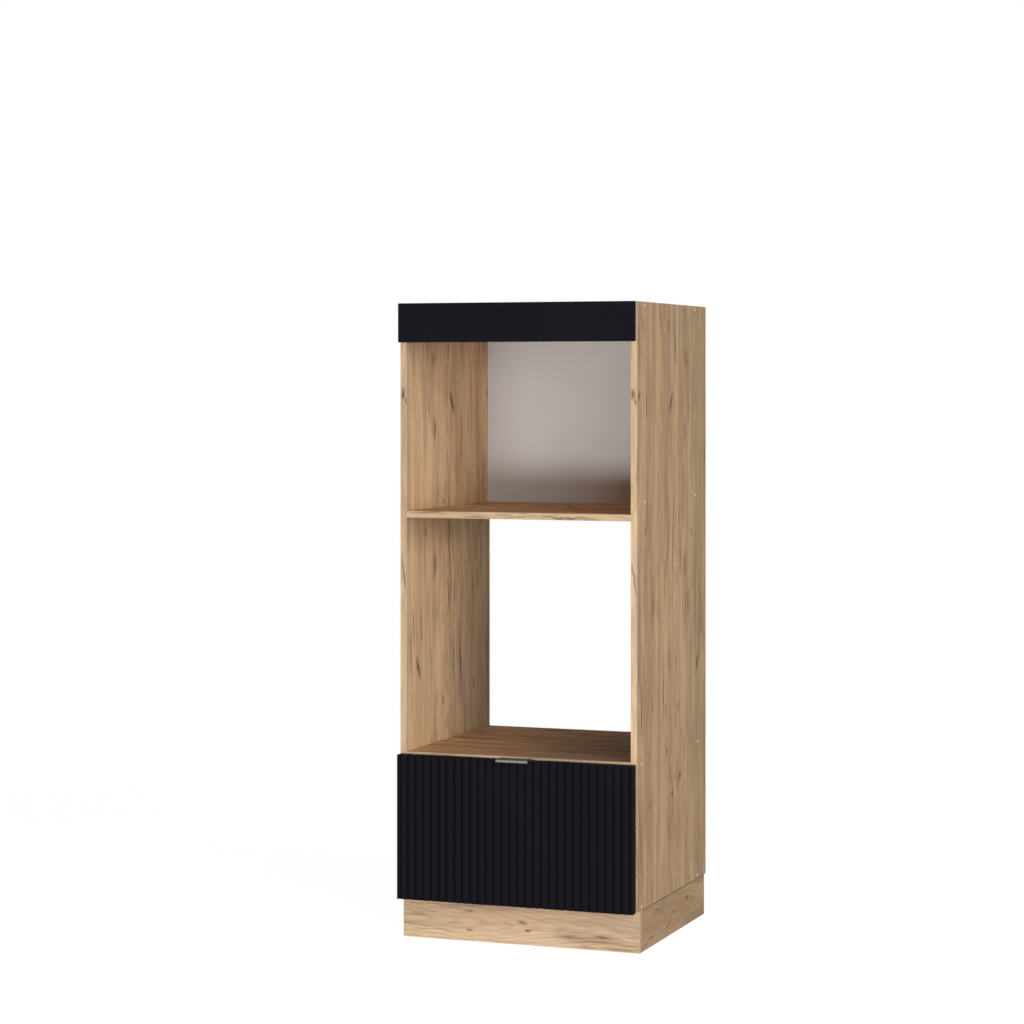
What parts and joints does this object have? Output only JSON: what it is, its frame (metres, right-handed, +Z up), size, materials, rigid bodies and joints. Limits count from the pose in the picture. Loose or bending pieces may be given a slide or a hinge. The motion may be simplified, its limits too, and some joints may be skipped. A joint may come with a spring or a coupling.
{
  "type": "tall oven and microwave kitchen cabinet",
  "caption": "Tall kitchen cabinet with an open niche for a built-in oven, an open niche for a microwave above it, a valance at the top, a deep drawer with a fluted front below and a plinth.",
  "frame": {"origin": "on the floor, under the centre of the outer box, which runs from the handle's lip to the rear edges of the side panels", "axes": "+Z up, +Y from the front to the back, +X to the right seen from the front"},
  "size_m": [0.6, 0.598, 1.53],
  "materials": {
    "oak_board": "oak-look melamine on chipboard, satin, with matching edge bands",
    "white_board": "white melamine on chipboard, satin",
    "white_hardboard": "white lacquered hardboard, satin",
    "black_front": "matt black lacquer on fibreboard",
    "handle_aluminium": "brushed, anodised",
    "zinc_steel": "zinc plated",
    "black_plastic": "moulded, fine grain",
    "beech_dowel": "raw beech"
  },
  "bodies": {
    "carcass": {"side_panel_left": "oak_board", "side_panel_right": "oak_board", "top_panel": "oak_board", "bottom_panel": "oak_board", "oven_shelf": "oak_board", "microwave_shelf": "oak_board", "back_panel_upper": "white_hardboard", "back_panel_lower": "white_hardboard", "valance": "black_front", "valance_bracket_left": "zinc_steel", "valance_bracket_right": "zinc_steel", "plinth_front": "oak_board", "plinth_side_left": "oak_board", "plinth_side_right": "oak_board", "plinth_clip_front_left": "black_plastic", "plinth_clip_front_right": "black_plastic", "plinth_clip_back_left": "black_plastic", "plinth_clip_back_right": "black_plastic", "leg_front_left": "black_plastic", "leg_front_right": "black_plastic", "leg_back_left": "black_plastic", "leg_back_right": "black_plastic", "screw_top_left_front": "zinc_steel", "screw_top_left_back": "zinc_steel", "screw_top_right_front": "zinc_steel", "screw_top_right_back": "zinc_steel", "screw_oven_shelf_left_front": "zinc_steel", "screw_oven_shelf_left_back": "zinc_steel", "screw_oven_shelf_right_front": "zinc_steel", "screw_oven_shelf_right_back": "zinc_steel", "screw_bottom_left_front": "zinc_steel", "screw_bottom_left_back": "zinc_steel", "screw_bottom_right_front": "zinc_steel", "screw_bottom_right_back": "zinc_steel", "shelf_dowel_left_front": "beech_dowel", "shelf_dowel_left_back": "beech_dowel", "shelf_dowel_right_front": "beech_dowel", "shelf_dowel_right_back": "beech_dowel", "runner_outer_left": "zinc_steel", "runner_outer_right": "zinc_steel"},
    "drawer": {"drawer_front": "black_front", "drawer_handle": "handle_aluminium", "drawer_side_left": "white_board", "drawer_side_right": "white_board", "drawer_box_front": "white_board", "drawer_box_back": "white_board", "drawer_bottom": "white_hardboard", "runner_inner_left": "zinc_steel", "runner_inner_right": "zinc_steel"},
    "runner_middle_left": {"runner_middle_left": "zinc_steel"},
    "runner_middle_right": {"runner_middle_right": "zinc_steel"},
    "ball_cage_outer_left": {"ball_cage_outer_left": "black_plastic"},
    "ball_cage_outer_right": {"ball_cage_outer_right": "black_plastic"},
    "ball_cage_inner_left": {"ball_cage_inner_left": "black_plastic"},
    "ball_cage_inner_right": {"ball_cage_inner_right": "black_plastic"},
    "foot_front_left": {"foot_front_left": "black_plastic"},
    "foot_front_right": {"foot_front_right": "black_plastic"},
    "foot_back_left": {"foot_back_left": "black_plastic"},
    "foot_back_right": {"foot_back_right": "black_plastic"}
  },
  "joints": [
    {"name": "drawer_slide", "type": "slide", "parent": "carcass", "child": "drawer", "axis": [0, -1, 0], "range_m": [0, 0.48]},
    {"name": "runner_middle_left_slide", "type": "slide", "parent": "carcass", "child": "runner_middle_left", "axis": [0, -1, 0], "range_m": [0, 0.24]},
    {"name": "runner_middle_right_slide", "type": "slide", "parent": "carcass", "child": "runner_middle_right", "axis": [0, -1, 0], "range_m": [0, 0.24]},
    {"name": "ball_cage_outer_left_roll", "type": "slide", "parent": "carcass", "child": "ball_cage_outer_left", "axis": [0, -1, 0], "range_m": [0, 0.12]},
    {"name": "ball_cage_outer_right_roll", "type": "slide", "parent": "carcass", "child": "ball_cage_outer_right", "axis": [0, -1, 0], "range_m": [0, 0.12]},
    {"name": "ball_cage_inner_left_roll", "type": "slide", "parent": "carcass", "child": "ball_cage_inner_left", "axis": [0, -1, 0], "range_m": [0, 0.36]},
    {"name": "ball_cage_inner_right_roll", "type": "slide", "parent": "carcass", "child": "ball_cage_inner_right", "axis": [0, -1, 0], "range_m": [0, 0.36]},
    {"name": "foot_front_left_screw", "type": "slide", "parent": "carcass", "child": "foot_front_left", "axis": [0, 0, -1], "range_m": [-0.005, 0.02]},
    {"name": "foot_front_right_screw", "type": "slide", "parent": "carcass", "child": "foot_front_right", "axis": [0, 0, -1], "range_m": [-0.005, 0.02]},
    {"name": "foot_back_left_screw", "type": "slide", "parent": "carcass", "child": "foot_back_left", "axis": [0, 0, -1], "range_m": [-0.005, 0.02]},
    {"name": "foot_back_right_screw", "type": "slide", "parent": "carcass", "child": "foot_back_right", "axis": [0, 0, -1], "range_m": [-0.005, 0.02]}
  ],
  "couplings": [
    {"joint": "runner_middle_left_slide", "follows": "drawer_slide", "ratio": 0.5},
    {"joint": "runner_middle_right_slide", "follows": "drawer_slide", "ratio": 0.5},
    {"joint": "ball_cage_outer_left_roll", "follows": "drawer_slide", "ratio": 0.25},
    {"joint": "ball_cage_outer_right_roll", "follows": "drawer_slide", "ratio": 0.25},
    {"joint": "ball_cage_inner_left_roll", "follows": "drawer_slide", "ratio": 0.75},
    {"joint": "ball_cage_inner_right_roll", "follows": "drawer_slide", "ratio": 0.75}
  ]
}
